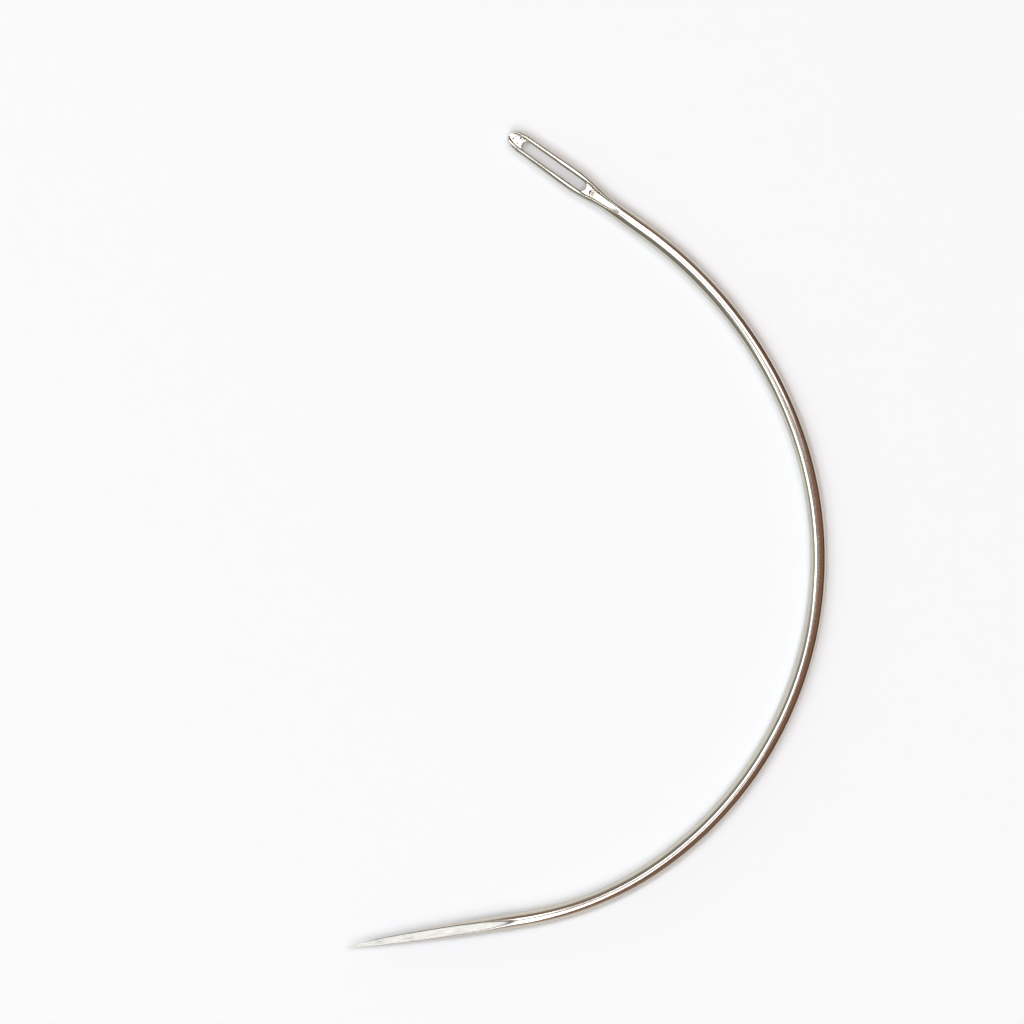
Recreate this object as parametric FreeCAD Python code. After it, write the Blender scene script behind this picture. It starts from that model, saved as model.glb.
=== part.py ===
import FreeCAD, Part
import math
import os

# A curved weaving needle, made as one piece of round wire. Lengths are in millimetres.
# Stations of the eye are measured from the head end, and those of the point from its tip.
wire_d = 1.0

# The curve: a straight stretch at each end, and three bends that run into each other
eye_straight = 9.9
upper_bend_r = 25.7
upper_bend_deg = 33.1
middle_bend_r = 22.6
middle_bend_deg = 76.2
lower_bend_r = 19.4
lower_bend_deg = 26.4
point_straight = 10.8

# The eye: the wire is pressed wide and thin, rounded at the head end, and narrow at the neck
head_end_share = 0.25
head_round = 1.2
head_w = 1.2
head_t = 0.66
eye_widest_at = 4.6
eye_w = 1.34
eye_t = 0.8
neck_at = 7.5
neck_w = 0.95
neck_t = 0.93
eye_end = 9.0

# The slot that the thread goes through
slot_start = 1.0
slot_length = 4.6
slot_w = 0.58

# A gutter on each face leads the thread into the slot, and its floor rises out of the shank
gutter_r = 0.8
gutter_web = 0.28
gutter_landing = 0.4
gutter_end = 8.2
gutter_tip_r = 0.3
gutter_tip_clear = 0.02

# The point: a round taper, with flat ground faces whose last stretch curves in to the tip
taper_tip_d = 0.24
face_count = 3
face_start = 10.4
face_tip_start = 3.0
face_tip_depth = 0.18
tip_flat_r = 0.012

# Sections that the eye is lofted through: round the head end, and along the rest of it
head_sections = 5
eye_sections = 15
# Where the round section's seam lies, turned from the side of the wire
seam_turn = 45
# How far a cutting tool stands out of the metal
clear = 1.0

X = FreeCAD.Vector(1, 0, 0)
Y = FreeCAD.Vector(0, 1, 0)
Z = FreeCAD.Vector(0, 0, 1)


def point_xz(x, z):
    return FreeCAD.Vector(x, 0, z)


def wire_disc():
    """The round section of the wire, facing along X, whose seam is off the gutters and rails."""
    circle = Part.makeCircle(wire_d / 2, FreeCAD.Vector(0, 0, 0), X)
    circle.rotate(FreeCAD.Vector(0, 0, 0), X, seam_turn)
    return Part.Face(Part.Wire(circle))


def line(start, end):
    return Part.LineSegment(start, end).toShape()


def tangent_arc(start, direction, end):
    """The arc that leaves start along a unit direction in the XZ plane, and ends at end."""
    chord = end - start
    normal = FreeCAD.Vector(direction.z, 0, -direction.x)
    radius = chord.Length ** 2 / (2 * chord.dot(normal))
    centre = start + normal * radius
    outward = (start + end) * 0.5 - centre
    middle = centre + outward.normalize() * abs(radius)
    return Part.Arc(start, middle, end).toShape()


def solid_between(outline, sweep):
    """A prism from a closed outline, swept both ways by half of the given vector."""
    face = Part.Face(Part.Wire(outline))
    face.translate(sweep * -0.5)
    return face.extrude(sweep)


def blend(start, end, share):
    """A smooth change from start to end, level at both of them."""
    return start + (end - start) * (1 - math.cos(math.pi * share)) / 2


def eye_size(station):
    """Width and thickness of the pressed wire at a station."""
    if station < head_round:
        rounding = math.sqrt(1 - (1 - station / head_round) ** 2)
        share = head_end_share + (1 - head_end_share) * rounding
        return head_w * share, head_t * math.sqrt(share)
    if station < eye_widest_at:
        share = (station - head_round) / (eye_widest_at - head_round)
        return blend(head_w, eye_w, share), blend(head_t, eye_t, share)
    if station < neck_at:
        share = (station - eye_widest_at) / (neck_at - eye_widest_at)
        return blend(eye_w, neck_w, share), blend(eye_t, neck_t, share)
    share = (station - neck_at) / (eye_end - neck_at)
    return blend(neck_w, wire_d, share), blend(neck_t, wire_d, share)


def eye_section(station):
    """The wire's round section, pressed to the ellipse that it is at a station."""
    width, thickness = eye_size(station)
    press = FreeCAD.Matrix()
    press.scale(1, width / wire_d, thickness / wire_d)
    section = wire_disc().OuterWire.transformGeometry(press)
    section.translate(X * station)
    return section


def eye_blank():
    head_angles = [math.pi / 2 * i / head_sections for i in range(head_sections)]
    stations = [head_round * (1 - math.cos(angle)) for angle in head_angles]
    pitch = (eye_end - head_round) / eye_sections
    stations += [head_round + pitch * i for i in range(eye_sections + 1)]
    return Part.makeLoft([eye_section(station) for station in stations], True, False)


def slot_cutter():
    radius = slot_w / 2
    first = slot_start + radius
    last = slot_start + slot_length - radius
    left_first = FreeCAD.Vector(first, radius, 0)
    left_last = FreeCAD.Vector(last, radius, 0)
    right_first = FreeCAD.Vector(first, -radius, 0)
    right_last = FreeCAD.Vector(last, -radius, 0)
    near_end = Part.Arc(right_first, X * slot_start, left_first).toShape()
    far_end = Part.Arc(left_last, X * (slot_start + slot_length), right_last).toShape()
    outline = [near_end, line(left_first, left_last), far_end, line(right_last, right_first)]
    return solid_between(outline, Z * 2 * (wire_d + clear))


def gutter_cutter():
    """A round groove along the upper face, which runs out to a blunt point past the slot."""
    landing_end = slot_start + slot_length + gutter_landing
    axis_height = gutter_web / 2 + gutter_r
    groove = Part.makeCylinder(gutter_r, landing_end + clear, point_xz(-clear, axis_height), X)
    tip_height = eye_size(gutter_end)[1] / 2 + gutter_tip_clear + gutter_tip_r
    wide_end = Part.makeCircle(gutter_r, point_xz(landing_end, axis_height), X)
    tip_end = Part.makeCircle(gutter_tip_r, point_xz(gutter_end, tip_height), X)
    outlet = Part.makeLoft([Part.Wire(wide_end), Part.Wire(tip_end)], True, True)
    return groove.fuse(outlet)


def eye():
    """The pierced eye, from the head end to the round shank, lying along X."""
    upper = gutter_cutter()
    lower = gutter_cutter()
    lower.rotate(FreeCAD.Vector(0, 0, 0), X, 180)
    return eye_blank().cut([upper, lower, slot_cutter()])


def point_blank():
    """The round taper, from the end of the last bend to the tip, lying along X."""
    start = point_xz(0, wire_d / 2)
    end = point_xz(point_straight, taper_tip_d / 2)
    side = tangent_arc(start, X, end)
    tip_face = line(end, point_xz(point_straight, 0))
    axis = line(point_xz(point_straight, 0), point_xz(0, 0))
    root = line(point_xz(0, 0), start)
    return Part.Face(Part.Wire([side, tip_face, axis, root])).revolve(point_xz(0, 0), X, 360)


def face_cutter(turn):
    """What the grinding of one face takes off, turned about the wire's axis."""
    runout = point_xz(point_straight - face_start, wire_d / 2)
    bend = point_xz(point_straight - face_tip_start, face_tip_depth)
    tip = point_xz(point_straight, tip_flat_r)
    beyond = point_xz(point_straight + clear, tip_flat_r)
    beyond_top = point_xz(point_straight + clear, wire_d / 2 + clear)
    runout_top = point_xz(point_straight - face_start, wire_d / 2 + clear)
    flat_direction = (bend - runout).normalize()
    outline = [line(runout, bend), tangent_arc(bend, flat_direction, tip), line(tip, beyond),
               line(beyond, beyond_top), line(beyond_top, runout_top), line(runout_top, runout)]
    cutter = solid_between(outline, Y * 2 * wire_d)
    cutter.rotate(FreeCAD.Vector(0, 0, 0), X, turn)
    return cutter


def ground_point():
    """The point, with one of its ground faces turned up, away from the table."""
    cutters = [face_cutter(360 / face_count * i) for i in range(face_count)]
    return point_blank().cut(cutters)


def bend_stretch(radius, turn):
    """The wire bent to the right by a turn, about a centre at its side."""
    return wire_disc().revolve(Y * -radius, Z, -turn)


def after_bend(place, radius, turn):
    bend_place = FreeCAD.Placement(FreeCAD.Vector(0, 0, 0), FreeCAD.Rotation(Z, -turn), Y * -radius)
    return place.multiply(bend_place)


def at_place(shape, place):
    shape.Placement = place.multiply(shape.Placement)
    return shape


def needle():
    """The whole needle with its head end at the origin, and the place of its tip."""
    shank = wire_disc().extrude(X * (eye_straight - eye_end))
    stretches = [at_place(shank, FreeCAD.Placement(X * eye_end, FreeCAD.Rotation()))]
    place = FreeCAD.Placement(X * eye_straight, FreeCAD.Rotation())
    bends = [(upper_bend_r, upper_bend_deg), (middle_bend_r, middle_bend_deg),
             (lower_bend_r, lower_bend_deg)]
    for radius, turn in bends:
        stretches.append(at_place(bend_stretch(radius, turn), place))
        place = after_bend(place, radius, turn)
    stretches.append(at_place(ground_point(), place))
    whole = eye().fuse(stretches).removeSplitter()
    return whole.Solids[0], place.multVec(X * point_straight)


def lay_down(whole, tip):
    """Turns the line from head to tip to -Y, and centres the needle on the table."""
    heading = math.degrees(math.atan2(tip.y, tip.x))
    whole.rotate(FreeCAD.Vector(0, 0, 0), Z, -90 - heading)
    box = whole.optimalBoundingBox()
    whole.translate(FreeCAD.Vector(-box.Center.x, -box.Center.y, -box.ZMin))
    return whole


def main():
    os.makedirs("parts", exist_ok=True)
    whole, tip = needle()
    lay_down(whole, tip).exportStep("parts/needle.step")


main()
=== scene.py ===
import math

import bmesh
import bpy
from mathutils import Matrix, Vector


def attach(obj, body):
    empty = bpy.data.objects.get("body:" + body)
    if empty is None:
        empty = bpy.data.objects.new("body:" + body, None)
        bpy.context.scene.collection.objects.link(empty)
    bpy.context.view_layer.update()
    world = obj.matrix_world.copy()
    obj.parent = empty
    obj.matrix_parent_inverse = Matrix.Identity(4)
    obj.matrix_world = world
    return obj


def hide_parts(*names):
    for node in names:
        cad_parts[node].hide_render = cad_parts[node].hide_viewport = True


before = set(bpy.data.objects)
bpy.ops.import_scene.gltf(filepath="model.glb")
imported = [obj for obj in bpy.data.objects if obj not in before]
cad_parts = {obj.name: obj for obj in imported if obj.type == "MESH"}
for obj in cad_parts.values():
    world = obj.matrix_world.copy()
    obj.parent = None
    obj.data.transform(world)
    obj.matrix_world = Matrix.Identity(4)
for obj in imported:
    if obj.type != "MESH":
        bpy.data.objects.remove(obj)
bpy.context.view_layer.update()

mm = 0.001

# The wire, and its bends from the head end on, each with its radius and its turn
wire_d = 1.0 * mm
eye_straight = 9.9 * mm
bends = [
    (25.7 * mm, math.radians(33.1)),
    (22.6 * mm, math.radians(76.2)),
    (19.4 * mm, math.radians(26.4)),
]
point_straight = 10.8 * mm
bent_length = sum(bend_r * turn for bend_r, turn in bends)
wire_length = eye_straight + bent_length + point_straight

# The pressed eye, by stations from the head end. The head is rounded by a power of the way
# along it: 1/2 would be an ellipse, and less is blunter.
head_round = 1.2 * mm
head_w = 1.2 * mm
head_t = 0.66 * mm
head_power = 1 / 3
eye_widest_at = 4.6 * mm
eye_w = 1.34 * mm
eye_t = 0.8 * mm
neck_at = 7.5 * mm
neck_w = 0.95 * mm
neck_t = 0.93 * mm
eye_end = 9.0 * mm

# How square a section of the eye is, where 2 is an ellipse
round_power = 2
pressed_power = 4.5

# The slot, and the rounding of its edges: how wide it is, and how far down it reaches
slot_start = 1.0 * mm
slot_length = 4.6 * mm
slot_end = slot_start + slot_length
slot_w = 0.58 * mm
slot_edge_r = 0.06 * mm
slot_edge_drop = 0.1 * mm

# The gutter of each face: its width between the crests, the share of it that is flat, how
# high its walls are, the web that is left between it and the gutter of the other face, and
# how far the crests are rounded
gutter_w = 0.84 * mm
gutter_flat = 0.62
gutter_wall = 0.23 * mm
gutter_web = 0.28 * mm
crest_rounding = 0.04 * mm

# The gutter's landing behind the slot, whose edge is bowed like the slot's end
gutter_landing = 0.4 * mm
landing_rise = 0.07 * mm
landing_edge = 0.08 * mm
landing_bow = 2

# The gutter's outlet. It is pinched to a share of its width early on its way, its floor
# rises by a power of the way, and its end is blunter the higher outlet_bluntness is.
gutter_end = 8.25 * mm
outlet_share = 0.74
outlet_pinched_at = 0.35
outlet_rise = 1.5
outlet_bluntness = 6

# The point, by stations from its tip. Its ridges are rounded by up to ridge_share of how far
# the ground faces are from the wire's middle, and the metal is fully satin where grind_edge
# of it is ground off.
taper_tip_d = 0.24 * mm
face_count = 3
face_start = 10.4 * mm
face_tip_start = 3.0 * mm
face_tip_depth = 0.18 * mm
tip_flat_r = 0.012 * mm
tip_rounding = 0.02 * mm
ridge_share = 0.25
grind_edge = 0.03 * mm

# Fineness of the mesh. A crowding above 1 draws its rows together at the tip, or its
# columns' fine steps at the head end.
ring_sides = 128
rail_columns = 76
sheet_rows = 40
edge_rows = 5
wall_rows = 3
neck_rows = 56
shank_rows = 220
point_rows = 180
tip_crowding = 1.5
outline_steps = 4000
outline_crowding = 3
weld_distance = 1e-7

# The sheets of the eye reach past the slot to sheet_end, and the columns that end there start
# from the first corner_share of the slot's side
sheet_end = 6.4 * mm
corner_share = 0.07

# A ground face that is turned far away is reckoned with this cosine, so as to stay finite
least_cosine = 0.05


# The eye, straight along X, with its head end at the origin


def blend(start, end, share):
    """A smooth change from start to end, level at both of them."""
    return start + (end - start) * (1 - math.cos(math.pi * share)) / 2


def lower_of(first, second, rounding):
    """The lower of two heights, with the edge between them rounded."""
    overlap = max(rounding - abs(first - second), 0) / rounding
    return min(first, second) - overlap ** 3 * rounding / 6


def eye_size(station):
    """Width and thickness of the pressed wire at a station."""
    if station < head_round:
        share = (1 - (1 - station / head_round) ** 2) ** head_power
        return head_w * share, head_t * math.sqrt(share)
    if station < eye_widest_at:
        share = (station - head_round) / (eye_widest_at - head_round)
        return blend(head_w, eye_w, share), blend(head_t, eye_t, share)
    if station < neck_at:
        share = (station - eye_widest_at) / (neck_at - eye_widest_at)
        return blend(eye_w, neck_w, share), blend(eye_t, neck_t, share)
    share = min(1, (station - neck_at) / (eye_end - neck_at))
    return blend(neck_w, wire_d, share), blend(neck_t, wire_d, share)


def section_power(station):
    """How square the section is: pressed at the eye, and round again from the neck on."""
    if station > neck_at:
        return round_power
    if station < eye_widest_at:
        return pressed_power
    share = (eye_size(station)[0] - neck_w) / (eye_w - neck_w)
    return round_power + (pressed_power - round_power) * share


def gutter_floor(station, across):
    """Height of the gutter's floor, which falls off the landing and then rises to its end."""
    landing_end = slot_end + gutter_landing
    ramp = max(0, (station - landing_end) / (gutter_end - landing_end))
    end_height = eye_size(gutter_end)[1] / 2
    floor = gutter_web / 2 + (end_height - gutter_web / 2) * ramp ** outlet_rise
    if station > slot_start + slot_length / 2:
        edge = landing_end + landing_bow * across ** 2 / slot_w - landing_edge
        fall = min(1, max(0, (station - edge) / landing_edge))
        floor += blend(landing_rise, 0, fall)
    return floor


def gutter_half_width(station):
    """Half of the width between the crests, pinched past the slot and closed at its end."""
    at_head = min(1, eye_size(station)[0] / head_w)
    past_slot = min(1, max(0, (station - slot_end) / (gutter_end - slot_end)))
    pinch = blend(1, outlet_share, min(1, past_slot / outlet_pinched_at))
    return gutter_w / 2 * at_head * pinch * math.sqrt(1 - past_slot ** outlet_bluntness)


def gutter_height(station, across):
    """Height of the gutter's surface over the middle of the wire."""
    half_width = gutter_half_width(station)
    if half_width == 0:
        return wire_d
    climb = max(0, abs(across) / half_width - gutter_flat) / (1 - gutter_flat)
    return gutter_floor(station, across) + gutter_wall * climb ** 2


def upper_height(station, across):
    """Height of the eye's upper face over the middle of the wire."""
    width, thickness = eye_size(station)
    if width == 0:
        return 0
    power = section_power(station)
    outward = min(1, abs(2 * across / width))
    pressed = thickness / 2 * (1 - outward ** power) ** (1 / power)
    rounding = min(crest_rounding, pressed)
    if rounding == 0:
        return 0
    return lower_of(pressed, gutter_height(station, across), rounding)


def slot_side(share, radius):
    """A point on one side of the slot, from its far end to the end by the head."""
    quarter_length = math.pi / 2 * slot_w / 2
    straight = slot_length - slot_w
    near = slot_start + slot_w / 2
    along = share * (2 * quarter_length + straight)
    if along < quarter_length:
        angle = along / quarter_length * math.pi / 2
        return near + straight + radius * math.cos(angle), radius * math.sin(angle)
    if along < quarter_length + straight:
        return near + straight - (along - quarter_length), radius
    angle = (along - quarter_length - straight) / quarter_length * math.pi / 2
    return near - radius * math.sin(angle), radius * math.cos(angle)


def side_outline():
    """Evenly spaced points along one side of the eye, from sheet_end round to the head end."""
    fine = []
    for i in range(outline_steps + 1):
        station = sheet_end * (1 - i / outline_steps) ** outline_crowding
        fine.append((station, eye_size(station)[0] / 2))
    lengths = [0.0]
    for (x0, y0), (x1, y1) in zip(fine, fine[1:]):
        lengths.append(lengths[-1] + math.hypot(x1 - x0, y1 - y0))
    points = []
    at = 0
    for i in range(1, rail_columns + 1):
        wanted = lengths[-1] * i / rail_columns
        while at < outline_steps and lengths[at + 1] < wanted:
            at += 1
        points.append(fine[min(at + 1, outline_steps)])
    points[-1] = (0.0, 0.0)
    return points


def eye_columns():
    """Pairs of a share of the slot's side and the point on the outline that it is joined to."""
    quarter = ring_sides // 4
    half_width = eye_size(sheet_end)[0] / 2
    columns = []
    for i in range(quarter + 1):
        across = half_width * math.sin(math.pi / 2 * i / quarter)
        columns.append((corner_share * i / quarter, (sheet_end, across)))
    for i, point in enumerate(side_outline()):
        columns.append((corner_share + (1 - corner_share) * (i + 1) / rail_columns, point))
    return columns


def around_slot(columns, place):
    """One closed row of points round the slot, from a function that places a column's point."""
    one_side = [place(share, outline) for share, outline in columns]
    other_side = [(x, -y, z) for x, y, z in reversed(one_side[1:-1])]
    return one_side + other_side


def sheet_row(columns, share):
    """A row of the upper face, at a share of the way from the slot to the outline."""
    def place(side_share, outline):
        x0, y0 = slot_side(side_share, slot_w / 2 + slot_edge_r)
        x = x0 + (outline[0] - x0) * share
        y = y0 + (outline[1] - y0) * share
        return x, y, upper_height(x, y)
    return around_slot(columns, place)


def edge_row(columns, turn):
    """A row of the slot's rounded upper edge, turned down from level by an angle."""
    def place(side_share, outline):
        x, y = slot_side(side_share, slot_w / 2 + slot_edge_r * (1 - math.sin(turn)))
        return x, y, upper_height(x, y) - slot_edge_drop * (1 - math.cos(turn))
    return around_slot(columns, place)


def at_height_share(row, share):
    """A row at a share of its height over the middle, where -1 is the lower face's."""
    return [(x, y, z * share) for x, y, z in row]


def neck_ring(station):
    """The closed section between the sheets round the slot and the round shank."""
    width = eye_size(station)[0]
    sides = (ring_sides // 4, 3 * ring_sides // 4)
    ring = []
    for i in range(ring_sides):
        angle = 2 * math.pi * i / ring_sides
        across = width / 2 * math.sin(angle)
        height = 0 if i in sides else upper_height(station, across)
        ring.append((station, across, math.copysign(height, math.cos(angle))))
    return ring


def add_closed_rows(mesh, rows):
    """Quads between rows of points that each close on themselves."""
    made = [[mesh.verts.new(point) for point in row] for row in rows]
    for first, second in zip(made, made[1:]):
        for i in range(len(first)):
            following = (i + 1) % len(first)
            mesh.faces.new((first[i], first[following], second[following], second[i]))


def make_eye():
    """The pierced and guttered eye, straight and open at its end, for the wire to join."""
    columns = eye_columns()
    sheet = [sheet_row(columns, blend(0, 1, i / sheet_rows)) for i in range(sheet_rows + 1)]
    edge = [edge_row(columns, math.pi / 2 * i / edge_rows) for i in range(edge_rows + 1)]
    wall = [at_height_share(edge[-1], 1 - 2 * i / wall_rows) for i in range(wall_rows + 1)]
    lower_edge = [at_height_share(row, -1) for row in edge]
    lower_sheet = [at_height_share(row, -1) for row in sheet]
    pitch = (eye_end - sheet_end) / neck_rows
    neck = [neck_ring(sheet_end + pitch * i) for i in range(neck_rows + 1)]
    mesh = bmesh.new()
    for rows in (sheet, edge, wall, lower_edge, lower_sheet, neck):
        add_closed_rows(mesh, rows)
    data = bpy.data.meshes.new("eye")
    mesh.to_mesh(data)
    mesh.free()
    eye = bpy.data.objects.new("needle_finished", data)
    bpy.context.scene.collection.objects.link(eye)
    return eye


# Node trees, written as expressions


class Value:
    """A socket of a node tree. Arithmetic on it adds the tree's Math nodes."""

    def __init__(self, tree, socket):
        self.tree = tree
        self.socket = socket

    def math(self, operation, *others):
        inputs = dict(enumerate((self,) + others))
        return self.tree.node("ShaderNodeMath", {"operation": operation}, inputs)

    def reflected(self, operation, other):
        return self.tree.node("ShaderNodeMath", {"operation": operation}, {0: other, 1: self})

    def above_zero(self):
        return self.math("MAXIMUM", 0.0)

    def from_0_to_1(self):
        return self.above_zero().math("MINIMUM", 1.0)

    def __add__(self, other):
        return self.math("ADD", other)

    def __radd__(self, other):
        return self.math("ADD", other)

    def __sub__(self, other):
        return self.math("SUBTRACT", other)

    def __rsub__(self, other):
        return self.reflected("SUBTRACT", other)

    def __mul__(self, other):
        return self.math("MULTIPLY", other)

    def __rmul__(self, other):
        return self.math("MULTIPLY", other)

    def __truediv__(self, other):
        return self.math("DIVIDE", other)

    def __rtruediv__(self, other):
        return self.reflected("DIVIDE", other)

    def __pow__(self, other):
        return self.math("POWER", other)

    def __rpow__(self, other):
        return self.reflected("POWER", other)


class Tree:
    """A node tree in which one method makes every node."""

    def __init__(self, tree):
        self.tree = tree

    def node(self, kind, settings=None, inputs=None, output=0):
        """Makes a node and gives one of its outputs. A list links several values to a socket."""
        made = self.tree.nodes.new(kind)
        for name, setting in (settings or {}).items():
            if name == "stops":
                self.set_stops(made.color_ramp, setting)
            else:
                setattr(made, name, setting)
        for key, value in (inputs or {}).items():
            for each in value if isinstance(value, list) else [value]:
                if isinstance(each, Value):
                    self.tree.links.new(each.socket, made.inputs[key])
                else:
                    made.inputs[key].default_value = each
        if not made.outputs:
            return None
        return Value(self, made.outputs[output])

    def set_stops(self, ramp, stops):
        while len(ramp.elements) < len(stops):
            ramp.elements.new(1)
        for element, (place, colour) in zip(ramp.elements, stops):
            element.position = place
            element.color = colour

    def other(self, value, output):
        """Another output of the node that a value comes from."""
        return Value(self, value.socket.node.outputs[output])

    def xyz(self, vector):
        x = self.node("ShaderNodeSeparateXYZ", {}, {0: vector})
        return x, self.other(x, 1), self.other(x, 2)

    def vector(self, x, y, z):
        return self.node("ShaderNodeCombineXYZ", {}, {0: x, 1: y, 2: z})

    def smooth_step(self, value, start, end):
        """A smooth rise from 0 at start to 1 at end, level on both sides of them."""
        return self.node("ShaderNodeMapRange", {"interpolation_type": "SMOOTHSTEP"},
                         {"Value": value, "From Min": start, "From Max": end})

    def noise(self, place, scale, detail):
        return self.node("ShaderNodeTexNoise", {},
                         {"Vector": place, "Scale": scale, "Detail": detail})

    def mix_colours(self, factor, first, second):
        return self.node("ShaderNodeMix", {"data_type": "RGBA"},
                         {0: factor, 6: first, 7: second}, 2)


# The needle as a Geometry Nodes tree, which bends the straight eye with the rest of the wire


def new_group(name, numbers):
    """A Geometry Nodes group with a mesh in and out, and named numbers."""
    group = bpy.data.node_groups.new(name, "GeometryNodeTree")
    group.interface.new_socket("Geometry", in_out="INPUT", socket_type="NodeSocketGeometry")
    group.interface.new_socket("Geometry", in_out="OUTPUT", socket_type="NodeSocketGeometry")
    for number in numbers:
        group.interface.new_socket(number, in_out="INPUT", socket_type="NodeSocketFloat")
    tree = Tree(group)
    mesh_in = tree.node("NodeGroupInput")
    return group, tree, mesh_in, {number: tree.other(mesh_in, number) for number in numbers}


def make_bender():
    """A group that bends what lies along X, past a station, round a centre at its side."""
    group, tree, mesh_in, size = new_group("bend_wire", ["Start", "Radius", "Turn"])
    x, y, z = tree.xyz(tree.node("GeometryNodeInputPosition"))
    past_start = (x - size["Start"]).above_zero()
    turned = (past_start / size["Radius"]).math("MINIMUM", size["Turn"])
    past_end = past_start - turned * size["Radius"]
    reach = y + size["Radius"]
    sine = turned.math("SINE")
    cosine = turned.math("COSINE")
    before = x.math("MINIMUM", size["Start"])
    bent = tree.vector(before + reach * sine + past_end * cosine,
                       reach * cosine - past_end * sine - size["Radius"], z)
    moved = tree.node("GeometryNodeSetPosition", {}, {"Geometry": mesh_in, "Position": bent})
    tree.node("NodeGroupOutput", {}, {0: moved})
    return group


def ground_point(past_bends, angle, size):
    """How far the surface past the bends is from the wire's middle, and how ground it is."""
    share = past_bends / size["Point Length"]
    taper = size["Wire Radius"] - (size["Wire Radius"] - size["Taper Tip Radius"]) * share ** 2.0
    to_tip = size["Point Length"] - past_bends
    slope = ((size["Wire Radius"] - size["Face Tip Depth"])
             / (size["Face Start"] - size["Face Tip Start"]))
    flat = size["Face Tip Depth"] + slope * (to_tip - size["Face Tip Start"])
    drop = size["Face Tip Depth"] - slope * size["Face Tip Start"] - size["Tip Radius"]
    curved = (1.0 - to_tip / size["Face Tip Start"]).above_zero()
    depth = flat - drop * curved ** 2.0
    pitch = 2 * math.pi / face_count
    from_face = angle.math("WRAP", pitch / 2, -pitch / 2).math("ABSOLUTE")
    face = depth / from_face.math("COSINE")
    next_face = depth / (pitch - from_face).math("COSINE").math("MAXIMUM", least_cosine)
    rounding = depth * ridge_share * (1.0 - to_tip / size["Face Start"]).above_zero()
    ground = face.math("SMOOTH_MIN", next_face, rounding)
    blunted = (1.0 - to_tip / tip_rounding).above_zero()
    radius = (taper.math("SMOOTH_MIN", ground, rounding)
              * (1.0 - blunted ** 2.0).above_zero().math("SQRT"))
    return radius, ((taper - ground) / grind_edge).from_0_to_1()


def make_straight_wire(tree, size):
    """The shank and the point along X, as a grid that is rolled up round the wire's middle."""
    rows = shank_rows + point_rows
    grid = tree.node("GeometryNodeMeshGrid", {}, {
        "Size X": 1.0, "Size Y": 1.0, "Vertices X": rows + 1, "Vertices Y": ring_sides + 1})
    u, v, _ = tree.xyz(tree.node("GeometryNodeInputPosition"))
    row = (u + 0.5) * rows
    angle = (v + 0.5) * (2 * math.pi)
    along_shank = (row / shank_rows).math("MINIMUM", 1.0)
    along_point = ((row - shank_rows) / point_rows).from_0_to_1()
    past_bends = size["Point Length"] * (1.0 - (1.0 - along_point) ** tip_crowding)
    station = size["Eye End"] + size["Shank Length"] * along_shank + past_bends
    radius, is_ground = ground_point(past_bends, angle, size)
    rolled = tree.vector(station, radius * angle.math("SINE"), radius * angle.math("COSINE"))
    marked = tree.node("GeometryNodeStoreNamedAttribute", {"data_type": "FLOAT"}, {
        "Geometry": grid, "Name": "ground", "Value": is_ground})
    return tree.node("GeometryNodeSetPosition", {}, {"Geometry": marked, "Position": rolled})


def make_needle_tree(material):
    """The shank and the point by rule, joined to the eye, and all of it bent as the wire is."""
    names = ["Wire Radius", "Eye End", "Shank Length", "Point Length", "Taper Tip Radius",
             "Face Start", "Face Tip Start", "Face Tip Depth", "Tip Radius"]
    group, tree, mesh_in, size = new_group("curved_needle", names)
    wire = make_straight_wire(tree, size)
    whole = tree.node("GeometryNodeJoinGeometry", {}, {0: [mesh_in, wire]})
    whole = tree.node("GeometryNodeMergeByDistance", {},
                      {"Geometry": whole, "Distance": weld_distance})
    whole = tree.node("GeometryNodeStoreNamedAttribute", {"data_type": "FLOAT_VECTOR"}, {
        "Geometry": whole, "Name": "straight", "Value": tree.node("GeometryNodeInputPosition")})
    bender = make_bender()
    stations = [eye_straight]
    for bend_r, turn in bends:
        stations.append(stations[-1] + bend_r * turn)
    for start, (bend_r, turn) in reversed(list(zip(stations, bends))):
        whole = tree.node("GeometryNodeGroup", {"node_tree": bender},
                          {"Geometry": whole, "Start": start, "Radius": bend_r, "Turn": turn})
    whole = tree.node("GeometryNodeSetShadeSmooth", {}, {"Geometry": whole})
    whole = tree.node("GeometryNodeRealizeInstances", {}, {"Geometry": whole})
    whole = tree.node("GeometryNodeSetMaterial", {}, {"Geometry": whole, "Material": material})
    tree.node("NodeGroupOutput", {}, {0: whole})
    return group


def head_to_tip():
    """Where the tip is when the head end is at the origin and the eye lies along X."""
    place = Matrix.Translation((eye_straight, 0, 0))
    for bend_r, turn in bends:
        place = place @ Matrix.Translation((0, -bend_r, 0)) @ Matrix.Rotation(-turn, 4, "Z")
        place = place @ Matrix.Translation((0, bend_r, 0))
    return place @ Vector((point_straight, 0, 0))


def lay_down(mesh):
    """Turns the line from head to tip to -Y, and centres the needle on the table."""
    tip = head_to_tip()
    mesh.transform(Matrix.Rotation(-math.pi / 2 - math.atan2(tip.y, tip.x), 4, "Z"))
    low = Vector(map(min, zip(*(v.co for v in mesh.vertices))))
    high = Vector(map(max, zip(*(v.co for v in mesh.vertices))))
    mesh.transform(Matrix.Translation((-(low.x + high.x) / 2, -(low.y + high.y) / 2, -low.z)))


def face_outwards(mesh):
    shell = bmesh.new()
    shell.from_mesh(mesh)
    bmesh.ops.recalc_face_normals(shell, faces=shell.faces)
    shell.to_mesh(mesh)
    shell.free()


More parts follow.
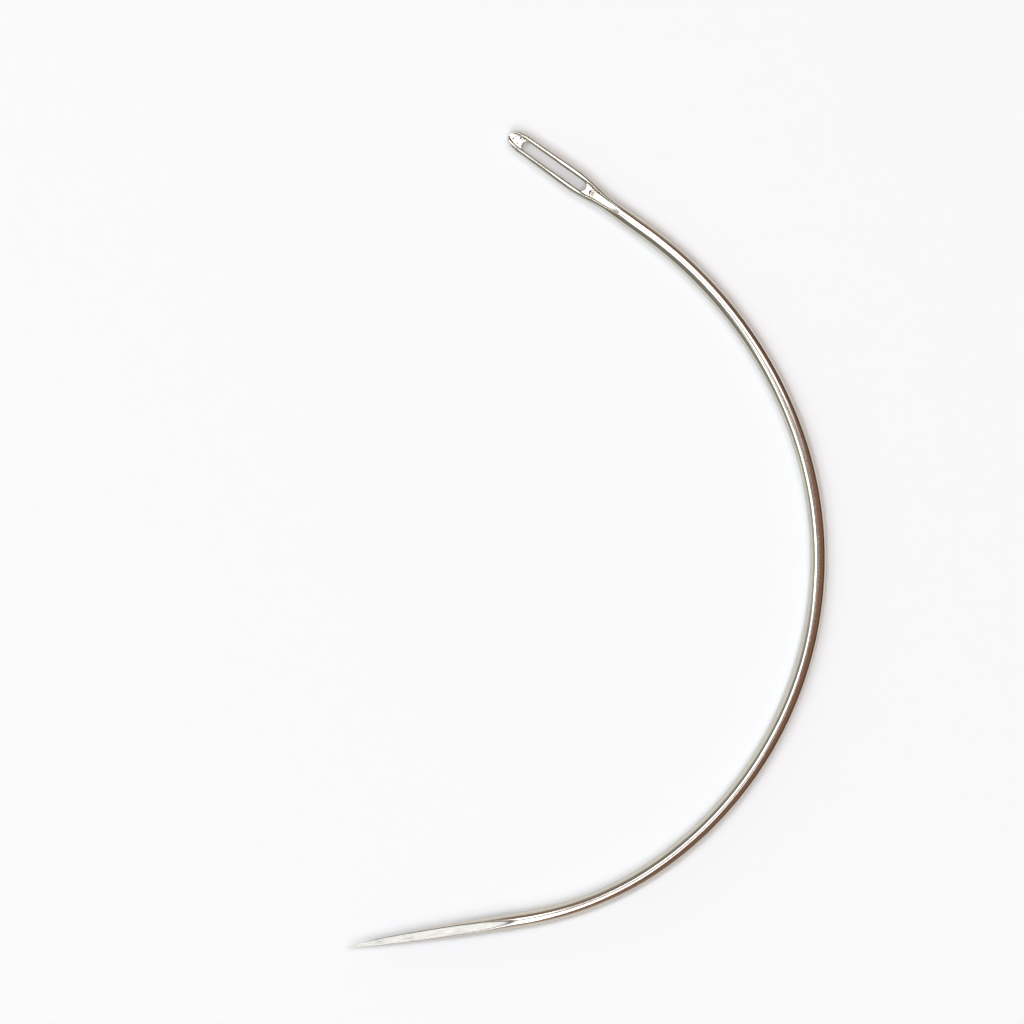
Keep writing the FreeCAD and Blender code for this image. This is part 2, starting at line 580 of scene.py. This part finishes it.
def make_needle(material):
    """The finished needle as one closed mesh, laid down where the CAD needle lies."""
    needle = make_eye()
    sizes = {
        "Wire Radius": wire_d / 2,
        "Eye End": eye_end,
        "Shank Length": eye_straight - eye_end + bent_length,
        "Point Length": point_straight,
        "Taper Tip Radius": taper_tip_d / 2,
        "Face Start": face_start,
        "Face Tip Start": face_tip_start,
        "Face Tip Depth": face_tip_depth,
        "Tip Radius": tip_flat_r,
    }
    modifier = needle.modifiers.new("curved_needle", "NODES")
    modifier.node_group = make_needle_tree(material)
    for item in modifier.node_group.interface.items_tree:
        if item.in_out == "INPUT" and item.name in sizes:
            modifier[item.identifier] = sizes[item.name]
    evaluated = needle.evaluated_get(bpy.context.evaluated_depsgraph_get())
    finished = bpy.data.meshes.new_from_object(evaluated)
    needle.modifiers.remove(modifier)
    lay_down(finished)
    face_outwards(finished)
    needle.data = finished
    return needle


# Materials. The nickel's marks are features to a metre, along the straight wire and across it.

drawn_along = 120.0
drawn_across = 11000.0
wheel_along = 900.0
wheel_slant = 2500.0
wheel_across = 16000.0
patches_each_way = 700.0
pits_each_way = 3200.0
lines_detail = 3.0
patches_detail = 4.0

# Pits are at the head end, by stations from it, and specks on the ground faces at the tip, by
# stations from that. Both come in from the first station to the second, and lie where their
# texture is below a limit.
pits_from, pits_full = 2.6 * mm, 0.6 * mm
pit_limit, pit_sharpness = 0.24, 12.0
specks_from, specks_full = 6.0 * mm, 3.0 * mm
speck_limit, speck_sharpness = 0.42, 14.0

# How high the marks stand, as shares of mark_height
mark_height = 0.0022 * mm
drawn_height = 0.6
patch_height = 0.5
pit_depth = 1.5
wheel_height = 1.2

# Roughness of the polish, what patches and drawn lines add to it, and that of the ground faces
polish_roughness = 0.06
patch_roughness = 0.06
drawn_roughness = 0.08
ground_roughness = 0.34

bright_nickel = (0.69, 0.655, 0.58, 1)
dull_nickel = (0.56, 0.53, 0.47, 1)
bright_ground = (0.7, 0.67, 0.61, 1)
dull_ground = (0.22, 0.21, 0.19, 1)
# Dark colour of the pits, the specks, and the line painted along the edges of the ground faces,
# which is partly polishing compound and partly painted shade
mark_and_edge_shade_colour = (0.1, 0.09, 0.08, 1)
nickel_edge_tint = (0.78, 0.77, 0.74, 1)
white = (0.94, 0.94, 0.94, 1)


def new_material(name):
    material = bpy.data.materials.new(name)
    material.use_nodes = True
    material.node_tree.nodes.clear()
    return material, Tree(material.node_tree)


def below(value, limit, sharpness):
    """1 well below a limit and 0 above it."""
    return ((limit - value) * sharpness).from_0_to_1()


def make_nickel():
    """Nickel, polished over the wire's drawn lines, pitted at the head, and satin where ground."""
    material, tree = new_material("polished_nickel")
    straight = tree.node("ShaderNodeAttribute", {"attribute_name": "straight"}, {}, "Vector")
    ground = tree.node("ShaderNodeAttribute", {"attribute_name": "ground"}, {}, "Fac")
    x, y, z = tree.xyz(straight)

    along_wire = tree.vector(x * drawn_along, y * drawn_across, z * drawn_across)
    drawn = tree.noise(along_wire, 1.0, lines_detail)
    by_wheel = tree.vector(x * wheel_along + y * wheel_slant, y * wheel_across, z * wheel_across)
    wheel = tree.noise(by_wheel, 1.0, lines_detail)
    patches = tree.noise(straight, patches_each_way, patches_detail)
    cells = tree.node("ShaderNodeTexVoronoi", {},
                      {"Vector": straight, "Scale": pits_each_way}, "Distance")

    by_head = tree.smooth_step(x, pits_from, pits_full)
    by_tip = tree.smooth_step(wire_length - x, specks_from, specks_full)
    pits = below(cells, pit_limit, pit_sharpness) * by_head
    specks = below(wheel, speck_limit, speck_sharpness) * ground * by_tip
    # Half way between ground and polished, a dark line is painted along the edges of the ground
    # faces: partly polishing compound left there, partly painted shade
    edge_compound_and_shade = 4.0 * ground * (1.0 - ground)
    marks_and_edge_shade = pits.math("MAXIMUM", specks).math("MAXIMUM", edge_compound_and_shade)

    height = (drawn_height * drawn + patch_height * patches - pit_depth * pits
              + wheel_height * wheel * ground)
    normal = tree.node("ShaderNodeBump", {},
                       {"Strength": 1.0, "Distance": mark_height, "Height": height})
    polished = tree.mix_colours(patches, bright_nickel, dull_nickel)
    satin = tree.mix_colours(wheel, bright_ground, dull_ground)
    metal = tree.mix_colours(ground, polished, satin)
    polish = polish_roughness + patch_roughness * patches + drawn_roughness * drawn
    surface = tree.node("ShaderNodeBsdfPrincipled", {}, {
        "Base Color": tree.mix_colours(marks_and_edge_shade, metal, mark_and_edge_shade_colour), "Metallic": 1.0,
        "Roughness": polish + (ground_roughness - polish) * ground,
        "Specular Tint": nickel_edge_tint, "Normal": normal})
    tree.node("ShaderNodeOutputMaterial", {}, {"Surface": surface})
    return material


def make_matt_white():
    material, tree = new_material("matt_white")
    surface = tree.node("ShaderNodeBsdfPrincipled", {}, {
        "Base Color": white, "Roughness": 0.9, "Specular IOR Level": 0.2})
    tree.node("ShaderNodeOutputMaterial", {}, {"Surface": surface})
    return material


# The stage, in metres. Its directions are the picture's: to the right, up the picture, and
# off the table.

picture_turn = math.radians(11.3)
view_centre = Vector((-7.47 * mm, 2.55 * mm, wire_d / 2))
view_width = 61.75 * mm
camera_height = 0.32
floor_half = 4.0

# Soft boxes, by how far to the right and up they hang, their width and length, and their turn
# in degrees
lamp_height = 1.0
lamp_level = 4.0
lamp_colour = (0.853, 0.941, 1.0)
soft_boxes = {
    "far_left_box": (-0.92, -0.165, 0.72, 0.53, 0),
    "left_box": (-0.34, 0.185, 0.44, 0.25, 0),
    "upper_right_box": (0.2, 0.375, 0.585, 0.5, 20),
    "lower_box": (-0.07, -0.59, 0.48, 0.95, 0),
}

# The room's walls, by shares of a turn from the picture's right by way of its top
wall_stops = [
    (0.0, (0.10, 0.06, 0.045, 1)),
    (0.09, (0.04, 0.035, 0.03, 1)),
    (0.16, (0.45, 0.44, 0.42, 1)),
    (0.3, (0.9, 0.88, 0.84, 1)),
    (0.44, (0.9, 0.88, 0.84, 1)),
    (0.53, (0.5, 0.49, 0.45, 1)),
    (0.63, (0.25, 0.25, 0.2, 1)),
    (0.70, (0.3, 0.3, 0.26, 1)),
    (0.78, (0.85, 0.83, 0.79, 1)),
    (0.85, (0.25, 0.22, 0.19, 1)),
    (0.91, (0.08, 0.05, 0.04, 1)),
]

# Places in the room, as parts of a direction one long. Going up, the walls pass into the
# ceiling between the first two, and going right, the ceiling turns brown between the others.
wall_top, ceiling_edge = 0.28, 0.52
brown_from, brown_full = -0.4, 0.0
grey_ceiling = (0.27, 0.265, 0.245, 1)
brown_ceiling = (0.3, 0.155, 0.11, 1)


def over_table(right, up, height):
    """A place over the middle of the picture, from distances to the right, up and off it."""
    return view_centre + Matrix.Rotation(picture_turn, 4, "Z") @ Vector((right, up, height))


def make_floor(material):
    corners = [(-floor_half, -floor_half, 0), (floor_half, -floor_half, 0),
               (floor_half, floor_half, 0), (-floor_half, floor_half, 0)]
    mesh = bpy.data.meshes.new("floor")
    mesh.from_pydata(corners, [], [(0, 1, 2, 3)])
    mesh.materials.append(material)
    floor = bpy.data.objects.new("floor", mesh)
    bpy.context.scene.collection.objects.link(floor)


def make_lamp(name, right, up, width, length, turn):
    """A soft box over the table, turned by an angle from the picture's sides."""
    lamp = bpy.data.lights.new(name, "AREA")
    lamp.shape = "RECTANGLE"
    lamp.size = width
    lamp.size_y = length
    lamp.color = lamp_colour
    lamp.energy = lamp_level * math.pi * width * length
    body = bpy.data.objects.new(name, lamp)
    body.location = over_table(right, up, lamp_height)
    body.rotation_euler = (0, 0, picture_turn + math.radians(turn))
    bpy.context.scene.collection.objects.link(body)


def make_room():
    """The walls and the ceiling that the needle mirrors, as the world's colours."""
    world = bpy.data.worlds.new("room")
    world.use_nodes = True
    world.node_tree.nodes.clear()
    tree = Tree(world.node_tree)
    x, y, height = tree.xyz(tree.node("ShaderNodeTexCoord", {}, {}, "Generated"))
    right = x * math.cos(picture_turn) + y * math.sin(picture_turn)
    up = y * math.cos(picture_turn) - x * math.sin(picture_turn)
    turn = (up.math("ARCTAN2", right) / (2 * math.pi)).math("WRAP", 1.0, 0.0)
    walls = tree.node("ShaderNodeValToRGB", {"stops": wall_stops}, {0: turn})
    brown = tree.smooth_step(right, brown_from, brown_full)
    ceiling = tree.mix_colours(brown, grey_ceiling, brown_ceiling)
    overhead = tree.smooth_step(height, wall_top, ceiling_edge)
    background = tree.node("ShaderNodeBackground", {}, {
        "Color": tree.mix_colours(overhead, walls, ceiling), "Strength": 1.0})
    tree.node("ShaderNodeOutputWorld", {}, {"Surface": background})
    bpy.context.scene.world = world


def make_camera():
    camera = bpy.data.cameras.new("camera")
    camera.lens = camera.sensor_width * camera_height / view_width
    camera.clip_start = 0.01
    camera.clip_end = 20
    body = bpy.data.objects.new("camera", camera)
    body.location = over_table(0, 0, camera_height)
    body.rotation_euler = (0, 0, picture_turn)
    bpy.context.scene.collection.objects.link(body)
    bpy.context.scene.camera = body


needle = make_needle(make_nickel())
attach(needle, "root")
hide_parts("needle")

make_floor(make_matt_white())
for name, box in soft_boxes.items():
    make_lamp(name, *box)
make_room()
make_camera()
bpy.context.scene.view_settings.view_transform = "Standard"
